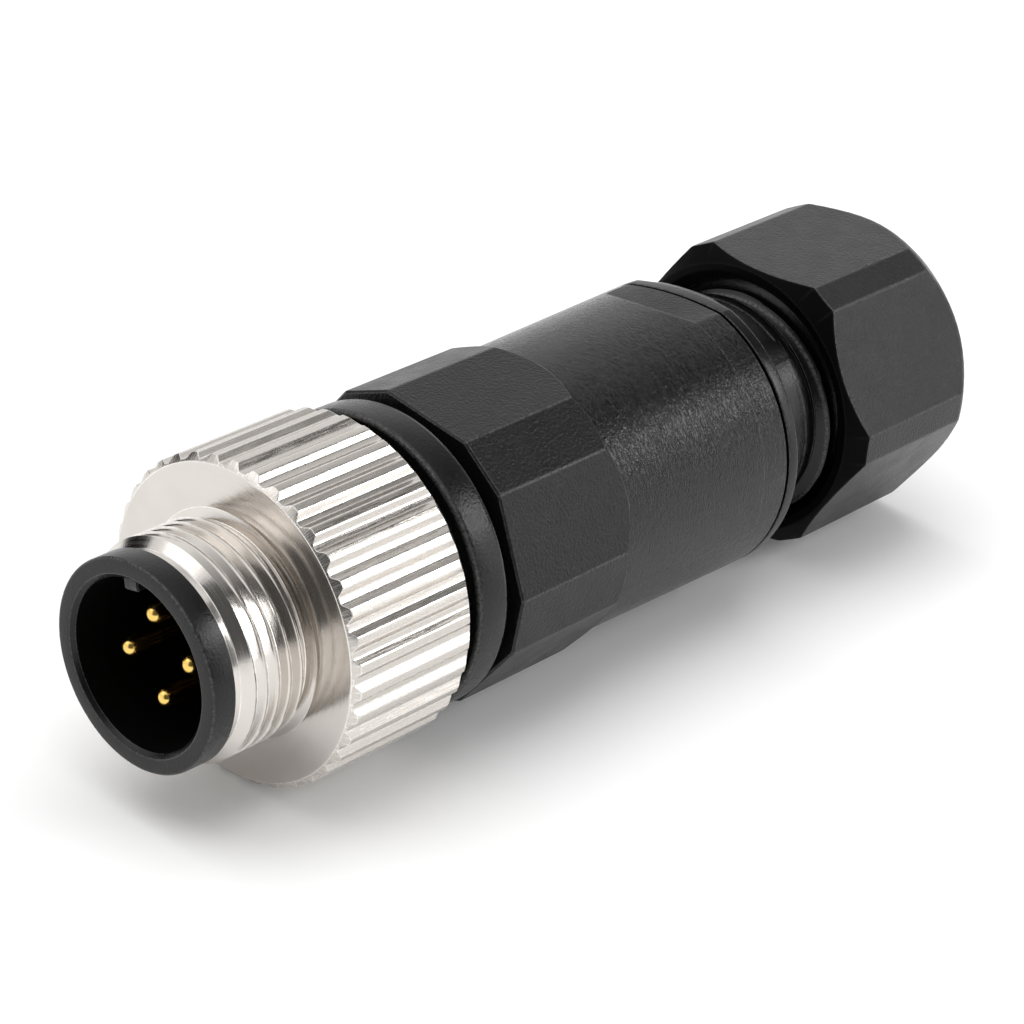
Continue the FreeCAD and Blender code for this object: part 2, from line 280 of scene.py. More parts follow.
# Studio, in metres: the point that lamps and cards face, and the floor
STUDIO_MIDDLE = (0.02, 0, 0)
FLOOR_R = 1.5
FLOOR_SIDES = 96


def offset(angle, radius):
    """(y, z) at an angle round the axis."""
    turn = math.radians(angle)
    return radius * math.sin(turn), radius * math.cos(turn)


def softened(corners, closed=True, steps=4):
    """Outline points (x, r, wear and highlight) of corners (x, r) or (x, r, length).

    A length rounds the corner and marks it as worn, with a painted highlight along it.
    """
    points = []
    count = len(corners)
    for i, corner in enumerate(corners):
        at = Vector(corner[:2])
        is_end = not closed and i in (0, count - 1)
        if len(corner) < 3 or is_end:
            points.append((at.x, at.y, 0.0))
            continue
        before = Vector(corners[i - 1][:2]) - at
        after = Vector(corners[(i + 1) % count][:2]) - at
        start = at + before.normalized() * min(corner[2], before.length * ROUNDING_SHARE)
        end = at + after.normalized() * min(corner[2], after.length * ROUNDING_SHARE)
        for k in range(steps + 1):
            t = k / steps
            point = start * (1 - t) ** 2 + at * 2 * t * (1 - t) + end * t ** 2
            points.append((point.x, point.y, 1.0 - abs(2 * t - 1)))
    return points


def circle_section(count=ROUND_COLUMNS):
    """Columns (angle, radius, wear and highlight) of a round body; the radius is left to the outline."""
    return [(360 * k / count, None, 0.0) for k in range(count)]


def polygon_section(corners, round_len, side_points, steps=4):
    """Columns (angle, radius, wear and painted highlight) of a bar with (angle, radius) corners, rounded,
    with split sides.
    """
    path = softened([(*offset(angle, radius), round_len) for angle, radius in corners], steps=steps)
    section = []
    for i, (x, y, wear_and_highlight) in enumerate(path):
        here = Vector((x, y))
        following = Vector(path[(i + 1) % len(path)][:2])
        parts = side_points if (following - here).length > 2 * round_len else 1
        for k in range(parts):
            at = here.lerp(following, k / parts)
            section.append((math.degrees(math.atan2(at.x, at.y)) % 360, at.length, wear_and_highlight if k == 0 else 0.0))
    return sorted(section)


def hexagon_corners(flat_r, corner_flat_r, turn):
    """The twelve corners of a hexagon whose own corners are cut by further flats."""
    half_side = math.radians(30)
    half = math.atan((corner_flat_r / flat_r - math.cos(half_side)) / math.sin(half_side))
    radius = flat_r / math.cos(half)
    spread = math.degrees(half)
    return [(turn + 60 * side + s * spread, radius) for side in range(6) for s in (-1, 1)]


def thread_path(angle, pitch, crest_at, ends, crest_r, root_r, limit, shallow=1.0, front_r=None):
    """One column of a right-hand thread with hollow grooves, and how far its points move on over one turn.

    shallow is the share of a groove's depth that rises evenly from its middle; the rest rises at its edges.
    front_r is the radius of a cone that ends where the thread begins.
    """
    half_land = 0.03
    edge_power = 16
    # Crests, and the point where the thread meets the front cone, are marked as worn and get a painted
    # highlight
    wear_and_highlight_power = 20
    half_hollow = [0.0, 0.25, 0.5, 0.68, 0.8, 0.88, 0.93, 0.965, 1.0]
    hollow = [-t for t in half_hollow[:0:-1]] + half_hollow
    form = [(0.0, 1.0, 1.0)]
    for t in hollow:
        height = shallow * t * t + (1 - shallow) * abs(t) ** edge_power
        form.append((0.5 + (0.5 - half_land) * t, height, abs(t) ** wear_and_highlight_power))
    first = math.floor((ends[0] - crest_at) / pitch) - 1
    turns = math.ceil((ends[1] - ends[0]) / pitch) + 3
    points = []
    for turn in range(turns):
        for share, height, wear_and_highlight in form:
            x = crest_at + (first + turn + share - angle / 360 + 1) * pitch
            r = root_r + (crest_r - root_r) * height
            if ends[0] < x < ends[1]:
                points.append((x, min(r, limit(x)), wear_and_highlight))
            elif x <= ends[0] and front_r:
                points.append((ends[0], front_r, 1.0))
            else:
                end = min(max(x, ends[0]), ends[1])
                points.append((end, min(root_r, limit(end)), 0.0))
    return points, -len(form)


def skin(section, outline_at, place=(0.0, 0.0), turn=None):
    """Skin round an axis: outline_at(angle, radius) lists the (x, r, wear and highlight) points of each
    column.

    turn, for a thread, is (first, last, shift): that stretch of points moves on by shift over one turn.
    """
    side_depth = 0.1
    bm = bmesh.new()
    wear_and_highlight_layer = bm.verts.layers.float.new("wear_and_highlight")
    columns = []
    for angle, radius, column_wear_and_highlight in section:
        column = []
        for x, r, wear_and_highlight in outline_at(angle, radius):
            y, z = offset(angle, max(r, 0.0))
            vertex = bm.verts.new((x * MM, (y + place[0]) * MM, (z + place[1]) * MM))
            at_side = radius is not None and r > radius - side_depth
            vertex[wear_and_highlight_layer] = max(wear_and_highlight, column_wear_and_highlight if at_side else 0.0)
            column.append(vertex)
        columns.append(column)
    count = len(columns[0])
    for j, column in enumerate(columns):
        following = columns[(j + 1) % len(columns)]
        closes = j == len(columns) - 1
        for k in range(count):
            ends = [k, (k + 1) % count]
            others = ends
            if closes and turn:
                first, last, shift = turn
                others = [min(max(e + shift, first), last) if first <= e <= last else e for e in ends]
            corners = [column[ends[0]], column[ends[1]], following[others[1]], following[others[0]]]
            distinct = []
            for corner in corners:
                if all((corner.co - seen.co).length > SAME_POINT for seen in distinct):
                    distinct.append(corner)
            if len(distinct) > 2 and not bm.faces.get(distinct):
                bm.faces.new(distinct)
    return cleaned(bm)


def cleaned(bm):
    """The bmesh with points that lie together merged and its faces turned outwards."""
    bmesh.ops.remove_doubles(bm, verts=bm.verts, dist=MERGE_WITHIN)
    bmesh.ops.recalc_face_normals(bm, faces=bm.faces)
    return bm


def round_bar(x0, x1, radius, place=(0.0, 0.0, 0.0), along=Vector((1, 0, 0))):
    """Round bar from x0 to x1 along a direction, from a place, to cut a hole with."""
    bm = bmesh.new()
    bmesh.ops.create_cone(bm, cap_ends=True, segments=BAR_SIDES, radius1=radius * MM, radius2=radius * MM,
                          depth=(x1 - x0) * MM)
    turn = Vector((0, 0, 1)).rotation_difference(along).to_matrix()
    bmesh.ops.transform(bm, matrix=turn.to_4x4(), verts=bm.verts)
    bmesh.ops.translate(bm, vec=(Vector(place) + along * (x0 + x1) / 2) * MM, verts=bm.verts)
    return bm


def combined(bm, others, operation):
    """A bmesh after a boolean with others."""
    spare = []
    for shape in [bm, *others]:
        mesh = bpy.data.meshes.new("shape")
        cleaned(shape).to_mesh(mesh)
        shape.free()
        thing = bpy.data.objects.new("shape", mesh)
        bpy.context.scene.collection.objects.link(thing)
        spare.append(thing)
    for tool in spare[1:]:
        step = spare[0].modifiers.new("step", "BOOLEAN")
        step.operation = operation
        step.solver = "EXACT"
        step.object = tool
    bpy.context.view_layer.update()
    shaped = spare[0].evaluated_get(bpy.context.evaluated_depsgraph_get())
    result = bmesh.new()
    result.from_mesh(shaped.to_mesh())
    shaped.to_mesh_clear()
    for thing in spare:
        bpy.data.objects.remove(thing)
    return result


def new_piece(node, bm, body, materials, material_of=None):
    """Turn a bmesh into a smooth-shaded piece that rides on a body and stands for a CAD node."""
    for face in bm.faces:
        face.material_index = material_of(face.calc_center_median() / MM, face.normal) if material_of else 0
    mesh = bpy.data.meshes.new(f"{node}_dressed")
    bm.to_mesh(mesh)
    bm.free()
    piece = bpy.data.objects.new(f"{node}_dressed", mesh)
    bpy.context.scene.collection.objects.link(piece)
    for material in materials:
        mesh.materials.append(material)
    mesh.shade_smooth()
    mesh.set_sharp_from_angle(angle=math.radians(SHARP_FROM))
    weighted = piece.modifiers.new("weighted_normals", "WEIGHTED_NORMAL")
    weighted.weight = SHADING_WEIGHT
    weighted.keep_sharp = True
    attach(piece, body)
    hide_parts(node)


def pin_place(number):
    """(y, z) of a contact's axis."""
    return offset(CODING_ANGLE + 90 * number, PIN_CIRCLE_R)


def make_coupling_ring(turned, knurled):
    pitch = 360 / KNURL_TEETH
    floor_r = KNURL_R - KNURL_DEPTH
    tooth_form = ((-HALF_FOOT_SHARE, floor_r), (-HALF_CREST_SHARE, KNURL_R), (HALF_CREST_SHARE, KNURL_R),
                  (HALF_FOOT_SHARE, floor_r))
    teeth = []
    for tooth in range(KNURL_TEETH):
        middle = KNURL_PHASE + tooth * pitch
        for share, radius in tooth_form:
            teeth.append((middle + share * pitch, radius))
    section = polygon_section(teeth, KNURL_EDGE, side_points=1, steps=2)
    slope = (KNURL_R - SHOULDER_R) / KNURL_CHAMFER
    turns = {}

    def limit(x):
        return min(THREAD_R, THREAD_ROOT_R + THREAD_RUN_OUT_RISE * max(THREAD_BACK - x, 0.0))

    def outline(angle, radius):
        front = softened([
            (RING_FRONT, RING_BORE_R), (RING_FRONT, LEAD_R, LEAD_EDGE), (LEAD_CONE[0], LEAD_R, RING_EDGE),
            (LEAD_CONE[1] - LEAD_CONE_STOP, THREAD_R)], closed=False)
        thread, shift = thread_path(angle, THREAD_PITCH, THREAD_CREST_AT, (LEAD_CONE[1], THREAD_BACK),
                                    THREAD_R, THREAD_ROOT_R, limit, shallow=THREAD_SHALLOW, front_r=THREAD_R)
        chamfer_x = SHOULDER_X + (radius - SHOULDER_R) / slope
        knurl_back = RING_BACK - KNURL_BACK_RIM - (radius - floor_r)
        back = softened([
            (THREAD_BACK, UNDERCUT_R), (SHOULDER_X - UNDERCUT_RUN_OUT, UNDERCUT_R, UNDERCUT_EDGE),
            (SHOULDER_X, FOOT_R, RING_EDGE), (SHOULDER_X, SHOULDER_R - SHOULDER_RIM),
            (SHOULDER_X, SHOULDER_R, RING_EDGE), (chamfer_x, radius, RING_EDGE),
            (knurl_back, radius, RING_EDGE), (RING_BACK, floor_r - KNURL_BACK_RIM, KNURL_BACK_RIM),
            (RING_BACK, RECESS_R, RING_EDGE), (RECESS_FLOOR, RECESS_R), (RECESS_FLOOR, RING_BORE_R)],
            closed=False)
        turns["thread"] = (len(front), len(front) + len(thread) - 1, shift)
        return [*front, *thread, *back]

    outline(0, KNURL_R)
    bm = skin(section, outline, turn=turns["thread"])

    def material_of(at, normal):
        return 1 if math.hypot(at.y, at.z) > SHOULDER_R + KNURL_MATERIAL_RISE else 0

    new_piece("coupling_ring", bm, "coupling_ring", [turned, knurled], material_of)


def coding_key():
    """The block on the cavity's wall that keys the connector."""
    key = bmesh.new()
    bmesh.ops.create_cube(key, size=MM)
    front = RIM_FRONT + KEY_SETBACK
    length = CAVITY_FLOOR + KEY_ROOT - front
    height = KEY_HEIGHT + KEY_ROOT
    bmesh.ops.scale(key, vec=(length, KEY_WIDTH, height), verts=key.verts)
    bmesh.ops.bevel(key, geom=key.edges[:], offset=KEY_BEVEL * MM, segments=3, affect="EDGES")
    place = Vector((front + length / 2, 0, CAVITY_R - KEY_HEIGHT + height / 2))
    bmesh.ops.translate(key, vec=place * MM, verts=key.verts)
    turn = Euler((-math.radians(CODING_ANGLE), 0, 0)).to_matrix()
    bmesh.ops.rotate(key, cent=(0, 0, 0), matrix=turn, verts=key.verts)
    return key


def make_contact_insert(carrier, painted_cavity_shade):
    wall_depth = 0.03
    floor_depth = 0.2
    floor_rise = 0.05
    pin_hole_past = 0.1
    screw_hole_past = 0.3

    def outline(angle, radius):
        return softened([
            (RIM_FRONT, CAVITY_R + MOUTH_CHAMFER, INSERT_EDGE), (RIM_FRONT, RIM_R, RIM_EDGE),
            (RIM_BACK, RIM_R, INSERT_EDGE), (RIM_BACK, JOURNAL_R), (HUB_FRONT, JOURNAL_R),
            (HUB_FRONT, TAIL_R), (CLIP_GROOVE[0], TAIL_R), (CLIP_GROOVE[0], CLIP_GROOVE_R),
            (CLIP_GROOVE[1], CLIP_GROOVE_R), (CLIP_GROOVE[1], TAIL_R), (TAIL_BACK, TAIL_R, TAIL_EDGE),
            (TAIL_BACK, 0.0), (CAVITY_FLOOR, 0.0), (CAVITY_FLOOR, CAVITY_R, CAVITY_FLOOR_EDGE),
            (RIM_FRONT + MOUTH_CHAMFER, CAVITY_R, INSERT_EDGE)])

    bm = combined(skin(circle_section(), outline), [coding_key()], "UNION")
    cutters = []
    for number in range(PIN_COUNT):
        y, z = pin_place(number)
        outward = Vector((0, y, z)).normalized()
        cutters.append(round_bar(CAVITY_FLOOR - CUT_PAST, TERMINAL_FRONT + pin_hole_past, PIN_R + FIT_GAP,
                                 (0, y, z)))
        cutters.append(round_bar(TERMINAL_FRONT, TAIL_BACK + CUT_PAST, TERMINAL_R + FIT_GAP, (0, y, z)))
        cutters.append(round_bar(PIN_CIRCLE_R, TAIL_R + screw_hole_past, SCREW_R + SCREW_HOLE_PLAY,
                                 (SCREW_X, 0, 0), outward))
    bm = combined(bm, cutters, "DIFFERENCE")

    # The cavity's walls and floor take the second material, a painted shade
    def material_of(at, normal):
        in_cavity = RIM_FRONT + MOUTH_CHAMFER < at.x < CAVITY_FLOOR + floor_rise
        radius = math.hypot(at.y, at.z)
        on_wall = radius > CAVITY_R - wall_depth
        on_floor = at.x > CAVITY_FLOOR - floor_depth
        return 1 if in_cavity and radius < CAVITY_R + wall_depth and (on_wall or on_floor) else 0

    new_piece("contact_insert", bm, "insert", [carrier, painted_cavity_shade], material_of)


def make_contact_pins(material):
    quarter = [math.radians(90 * k / PIN_TIP_STEPS) for k in range(PIN_TIP_STEPS + 1)]
    pin_tip = [(PIN_TIP + PIN_R * (1 - math.cos(t)), PIN_R * math.sin(t)) for t in quarter]
    screw_hole_depth = 2

    def outline(angle, radius):
        return softened([
            *pin_tip, (TERMINAL_FRONT, PIN_R), (TERMINAL_FRONT, TERMINAL_R, TERMINAL_EDGE),
            (TERMINAL_BACK, TERMINAL_R, TERMINAL_EDGE), (TERMINAL_BACK, WIRE_HOLE_R),
            (WIRE_HOLE_END, WIRE_HOLE_R), (WIRE_HOLE_END, 0.0)])

    for number in range(PIN_COUNT):
        y, z = pin_place(number)
        outward = Vector((0, y, z)).normalized()
        screw_hole = round_bar(PIN_CIRCLE_R, PIN_CIRCLE_R + screw_hole_depth, SCREW_R + FIT_GAP,
                               (SCREW_X, 0, 0), outward)
        bm = combined(skin(circle_section(PIN_COLUMNS), outline, place=(y, z)), [screw_hole], "DIFFERENCE")
        new_piece(f"contact_pin_{number + 1}", bm, "insert", [material])


def make_collar(material):
    turns = {}
    thread_front = COLLAR[1] + BOSS_PLAIN

    def limit(x):
        return min(BOSS_R, BOSS_ROOT_R + BOSS_BACK - x)

    def outline(angle, radius):
        hub = softened([
            (HUB_FRONT, TAIL_R + FIT_GAP), (HUB_FRONT, COLLAR_HUB_R, HUB_EDGE),
            (COLLAR[0], COLLAR_HUB_R, COLLAR_FOOT_EDGE), (COLLAR[0], BODY_R, COLLAR_EDGE),
            (COLLAR[1], BODY_R, COLLAR_EDGE), (COLLAR[1], BOSS_ROOT_R, COLLAR_FOOT_EDGE),
            (thread_front, BOSS_ROOT_R)], closed=False)
        thread, shift = thread_path(angle, BOSS_PITCH, BOSS_BACK, (thread_front, BOSS_BACK), BOSS_R,
                                    BOSS_ROOT_R, limit)
        turns["thread"] = (len(hub), len(hub) + len(thread) - 1, shift)
        return [*hub, *thread, (BOSS_BACK, TAIL_R + FIT_GAP, 0.0)]

    outline(0, None)
    bm = skin(circle_section(BOSS_COLUMNS), outline, turn=turns["thread"])
    new_piece("collar", bm, "insert", [material])


def make_front_seal(material):
    section_r = (SEAL_BACK - SEAL_FRONT) / 2
    ring = []
    for step in range(0, 360, SEAL_STEP_ANGLE):
        t = math.radians(step)
        x = SEAL_FRONT + section_r * (1 + math.cos(t))
        r = SEAL_OUTER_R + section_r * (math.sin(t) - 1)
        ring.append((x, r, 0.0))
    bm = skin(circle_section(), lambda angle, radius: ring)
    new_piece("front_seal", bm, "front_seal", [material])


def bar_radius(angle, corners):
    """Radius at an angle of a bar with (angle, radius) corners."""
    direction = Vector(offset(angle, 1.0))
    points = [Vector(offset(*corner)) for corner in corners]
    found = 0.0
    for i, point in enumerate(points):
        side = points[(i + 1) % len(points)] - point
        across = direction.cross(side)
        along_side = point.cross(direction) / across
        reach = point.cross(side) / across
        if reach > 0 and 0 <= along_side <= 1:
            found = max(found, reach)
    return found


def angle_between(angle, other):
    """Degrees from one angle to another, the shorter way."""
    return abs((angle - other + 180) % 360 - 180)


def mill_flat_edges(radius):
    """Angles near the two long edges of the milled flat on a body of that radius."""
    reach = math.degrees(math.acos(MILL_FLAT_R / radius))
    return [MILL_FLAT_ANGLE + side * (reach + step) for side in (-1, 1) for step in MILL_FLAT_STEPS]


def flat_or(radius, angle, crown=0.0):
    """The radius, or the milled flat's where that lies lower; crown lifts the flat towards the round."""
    away = angle_between(angle, MILL_FLAT_ANGLE)
    if away > MILL_FLAT_REACH:
        return radius
    flat = MILL_FLAT_R / math.cos(math.radians(away))
    return min(radius, flat + crown * (radius - flat))


def barrel_r(x):
    """Radius of the drafted barrel at x."""
    share = (x - HEX_BACK) / (BARREL_BACK - HEX_BACK)
    return BARREL_FRONT_R + (BODY_R - BARREL_FRONT_R) * share


def hexagon_end(radius):
    """Where the hexagon ends at a radius: its corners are trimmed back more than its flats."""
    return HEX_BACK + HEX_RUN_OUT - HEX_TRIM * (radius - HEX_FLAT_R)


def make_housing(grip, barrel):
    hexagon_foot = 0.02
    ramp_foot = 0.05
    past_trim = 0.01
    flat_depth = 0.02
    bore_wall = 0.2
    corners = hexagon_corners(HEX_FLAT_R, HEX_CORNER_FLAT_R, HEX_TURN)
    section = polygon_section(corners, HEX_CORNER_EDGE, FLAT_PARTS)
    edges = mill_flat_edges(barrel_r((MILL_FLAT_FRONT + BARREL_BACK) / 2))
    section = sorted(section + [(angle % 360, bar_radius(angle, corners), 0.0) for angle in edges])
    ramp = math.tan(math.radians(MILL_FLAT_RAMP))

    def outline(angle, radius):
        front_r = barrel_r(MILL_FLAT_FRONT)
        drop = front_r - flat_or(front_r, angle)
        along_ramp = drop * math.cos(math.radians(angle_between(angle, MILL_FLAT_ANGLE))) / ramp
        hex_end = hexagon_end(radius)
        barrel_start = hex_end + hexagon_foot + (radius - barrel_r(hex_end)) / 2
        return softened([
            (HOUSING_FRONT, HOUSING_THREAD_R, HOUSING_MOUTH_EDGE),
            (HOUSING_FRONT, radius - HEX_BEVEL, HEX_EDGE), (HOUSING_FRONT + HEX_BEVEL, radius, HEX_EDGE),
            (hex_end, radius, HEX_EDGE), (barrel_start, barrel_r(barrel_start), HEX_EDGE),
            (MILL_FLAT_FRONT - ramp_foot - along_ramp, front_r, HEX_EDGE),
            (MILL_FLAT_FRONT, front_r - drop, MILL_FLAT_EDGE),
            (BARREL_BACK, flat_or(BODY_R, angle, MILL_FLAT_CROWN), BARREL_BACK_EDGE),
            (BARREL_BACK, PLUG_BORE_R, PLUG_BORE_EDGE), (PLUG_FRONT, PLUG_BORE_R), (PLUG_FRONT, CHAMBER_R),
            (HOUSING_THREAD_BACK, CHAMBER_R), (HOUSING_THREAD_BACK, HOUSING_THREAD_R)])

    def material_of(at, normal):
        radius = math.hypot(at.y, at.z)
        on_barrel = at.x > hexagon_end(radius) + past_trim and radius > PLUG_BORE_R + bore_wall
        on_flat = at.x > MILL_FLAT_FRONT and radius < barrel_r(at.x) - flat_depth
        return 1 if on_barrel and not on_flat else 0

    new_piece("housing", skin(section, outline), "housing", [grip, barrel], material_of)


def make_gland_body(material):
    past_lug = 0.01
    lug_foot = 0.1
    half_lug = math.degrees(LUG_WIDTH / 2 / BAND_R)
    even_angles = [angle for angle, _, _ in circle_section()]
    lug_edges = [LUG_ANGLE + s * (half_lug + step) for s in (-1, 1) for step in LUG_STEPS]
    angles = {round(angle % 360, 4) for angle in even_angles + mill_flat_edges(BODY_R) + lug_edges}
    section = [(angle, None, 0.0) for angle in sorted(angles)]
    turns = {}

    def limit(x):
        from_end = min(x - GLAND_THREAD_FRONT, GLAND_BACK - x)
        return min(GLAND_THREAD_R, GLAND_THREAD_ROOT_R + max(from_end, 0.0))

    def on_lug(x, r):
        return FLANGE[1] < x < LUG_BACK + past_lug and r > BAND_R + lug_foot

    def outline(angle, radius):
        away = angle_between(angle, LUG_ANGLE)
        rise = LUG_HEIGHT * min(max((half_lug + LUG_SIDE_START - away) / LUG_SIDE_ANGLE, 0.0), 1.0)
        flange_r = flat_or(BODY_R, angle, MILL_FLAT_CROWN)
        flange_face_r = min(BODY_R - FLANGE_CHAMFER, flange_r - FLANGE_FACE_DROP)
        body = softened([
            (GRIP_FRONT, CABLE_PASSAGE_R), (PLUG_FRONT, CABLE_PASSAGE_R, PLUG_EDGE),
            (PLUG_FRONT, PLUG_R, PLUG_EDGE), (REAR_SEAL_X - REAR_SEAL_HALF, PLUG_R),
            (REAR_SEAL_X - REAR_SEAL_HALF, REAR_SEAL_R), (REAR_SEAL_X + REAR_SEAL_HALF, REAR_SEAL_R),
            (REAR_SEAL_X + REAR_SEAL_HALF, PLUG_R), (FLANGE[0], PLUG_R),
            (FLANGE[0], flange_r, FLANGE_EDGES[0]), (FLANGE[1] - FLANGE_CHAMFER, flange_r, FLANGE_EDGES[1]),
            (FLANGE[1], flange_face_r, FLANGE_EDGES[2]), (FLANGE[1], BAND_R + rise, LUG_EDGE),
            (LUG_BACK, BAND_R + rise, LUG_EDGE),
            (LUG_BACK + LUG_BACK_RUN, BAND_R, LUG_BACK_RUN), (BAND_BACK, BAND_R, BAND_EDGE),
            (BAND_BACK, GROOVE_R, GROOVE_EDGE), (GLAND_THREAD_FRONT, GROOVE_R, GROOVE_EDGE),
            (GLAND_THREAD_FRONT, GLAND_THREAD_ROOT_R)], closed=False)
        # Near the lug's sides, its points get a painted highlight along the lug's edges
        if abs(away - half_lug) < LUG_HIGHLIGHT_ANGLE:
            body = [(x, r, 1.0 if on_lug(x, r) else wear_and_highlight) for x, r, wear_and_highlight in body]
        thread, shift = thread_path(angle, GLAND_PITCH, GLAND_THREAD_FRONT + GLAND_CREST_AT,
                                    (GLAND_THREAD_FRONT, GLAND_BACK), GLAND_THREAD_R,
                                    GLAND_THREAD_ROOT_R, limit)
        inside = softened([(GLAND_BACK, SEAT_R, SEAT_EDGE), (GRIP_FRONT, SEAT_R)], closed=False)
        turns["thread"] = (len(body), len(body) + len(thread) - 1, shift)
        return [*body, *thread, *inside]

    outline(0, None)
    bm = skin(section, outline, turn=turns["thread"])
    new_piece("gland_body", bm, "housing", [material])


def make_gland_nut(outside, shaded_mouth):
    front_tilt = -0.3
    bore_wall = 0.1
    corners = hexagon_corners(NUT_FLAT_R, NUT_CORNER_FLAT_R, 0)
    section = polygon_section(corners, NUT_CORNER_EDGE, FLAT_PARTS)
    back_rise = 1 / math.tan(math.radians(NUT_BACK_SLOPE))

    def outline(angle, radius):
        back_chamfer = (radius - NUT_BACK_R) * back_rise
        return softened([
            (NUT_FRONT, NUT_BORE_R + NUT_MOUTH_CHAMFER, NUT_MOUTH_EDGE),
            (NUT_FRONT, NUT_FACE_R, NUT_FACE_EDGE),
            (NUT_FRONT + radius - NUT_FACE_R, radius, NUT_FRONT_EDGE),
            (NUT_BACK - back_chamfer, radius, NUT_BACK_EDGES[0]), (NUT_BACK, NUT_BACK_R, NUT_BACK_EDGES[1]),
            (NUT_BACK, NUT_HOLE_R + NUT_HOLE_CHAMFER, NUT_HOLE_EDGES[0]),
            (NUT_BACK - NUT_HOLE_CHAMFER, NUT_HOLE_R, NUT_HOLE_EDGES[1]), (NUT_SHOULDER, NUT_HOLE_R),
            (NUT_SHOULDER, NUT_BORE_R), (NUT_FRONT + NUT_MOUTH_CHAMFER, NUT_BORE_R, NUT_BORE_EDGE)])

    # Front-facing faces and the bore take the second material, a painted shade
    def material_of(at, normal):
        faces_front = normal.x < front_tilt
        in_bore = math.hypot(at.y, at.z) < NUT_FACE_R - bore_wall
        return 1 if at.x < NUT_SHOULDER and (faces_front or in_bore) else 0

    new_piece("gland_nut", skin(section, outline), "gland_nut", [outside, shaded_mouth], material_of)


def make_round_ring(node, body, corners, material):
    bm = skin(circle_section(), lambda angle, radius: softened(corners))
    new_piece(node, bm, body, [material])


def dress_node(name, material):
    """Give a carried-over CAD node its material."""
    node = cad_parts[name]
    node.data.materials.clear()
    node.data.materials.append(material)


def add_node(tree, kind, inputs, **settings):
    """A shader node with its settings and inputs; a socket as an input is linked."""
    node = tree.nodes.new(kind)
    for name, value in settings.items():
        setattr(node, name, value)
    for key, value in inputs.items():
        if isinstance(value, bpy.types.NodeSocket):
            tree.links.new(value, node.inputs[key])
        else:
            node.inputs[key].default_value = value
    return node


def new_material(name, constants):
    """A material, its node tree and its shader, with constants set on the shader's own sockets."""
    material = bpy.data.materials.new(name)
    material.use_nodes = True
    shader = material.node_tree.nodes["Principled BSDF"]
    for socket, value in constants.items():
        shader.inputs[socket].default_value = value
    return material, material.node_tree, shader


def object_point(tree):
    """Object coordinates in millimetres."""
    coordinates = add_node(tree, "ShaderNodeTexCoord", {})
    scaled = add_node(tree, "ShaderNodeVectorMath", {0: coordinates.outputs["Object"], "Scale": 1 / MM},
                      operation="SCALE")
    return scaled.outputs[0]


def calculated(tree, operation, first, second):
    """The value of two numbers or sockets after an operation."""
    return add_node(tree, "ShaderNodeMath", {0: first, 1: second}, operation=operation).outputs[0]


def lathe_point(tree, along, around):
    """(x, radius, angle) of a point, the lengths times along and the angle in radians times around."""
    split = add_node(tree, "ShaderNodeSeparateXYZ", {0: object_point(tree)})
    x, y, z = (split.outputs[axis] for axis in "XYZ")
    flat = add_node(tree, "ShaderNodeCombineXYZ", {"Y": y, "Z": z})
    radius = add_node(tree, "ShaderNodeVectorMath", {0: flat.outputs[0]}, operation="LENGTH")
    angle = calculated(tree, "ARCTAN2", y, z)
    parts = [calculated(tree, "MULTIPLY", value, factor)
             for value, factor in ((x, along), (radius.outputs["Value"], along), (angle, around))]
    return add_node(tree, "ShaderNodeCombineXYZ", {0: parts[0], 1: parts[1], 2: parts[2]}).outputs[0]


def noise(tree, point, scale, detail=2.0, distortion=0.0):
    settings = {"Vector": point, "Scale": scale, "Detail": detail, "Roughness": 0.55,
                "Distortion": distortion}
    return add_node(tree, "ShaderNodeTexNoise", settings).outputs["Fac"]


def ranged(tree, value, low, high, to_low, to_high):
    """A value taken from one range to another."""
    ends = {"Value": value, "From Min": low, "From Max": high, "To Min": to_low, "To Max": to_high}
    return add_node(tree, "ShaderNodeMapRange", ends).outputs["Result"]


def varied(tree, pattern, low, high):
    """A value between two ends that follows the middle range of a noise."""
    return ranged(tree, pattern, low=0.3, high=0.7, to_low=low, to_high=high)


def edge_wear_and_highlight(tree, speckle):
    """The mesh's wear and painted highlight along its edges, broken up by a speckle."""
    attribute = add_node(tree, "ShaderNodeAttribute", {}, attribute_name="wear_and_highlight")
    patchy = ranged(tree, speckle, low=0.35, high=0.65, to_low=0.2, to_high=1.0)
    return calculated(tree, "MULTIPLY", attribute.outputs["Fac"], patchy)


def mixed(tree, factor, first, second):
    """Colour between two colours, or from a colour socket to a colour; the node takes them at 6 and 7."""
    ends = [end if isinstance(end, bpy.types.NodeSocket) else (*end, 1) for end in (first, second)]
    mix = add_node(tree, "ShaderNodeMix", {0: factor, 6: ends[0], 7: ends[1]}, data_type="RGBA")
    return mix.outputs[2]


def grey(shade):
    return (shade,) * 3


def bumped(tree, shader, heights):
    """Chain of bumps from (height, strength, distance in mm)."""
    normal = None
    for height, strength, distance in heights:
        inputs = {"Height": height, "Strength": strength, "Distance": distance * MM}
        if normal:
            inputs["Normal"] = normal
        normal = add_node(tree, "ShaderNodeBump", inputs).outputs["Normal"]
    tree.links.new(normal, shader.inputs["Normal"])


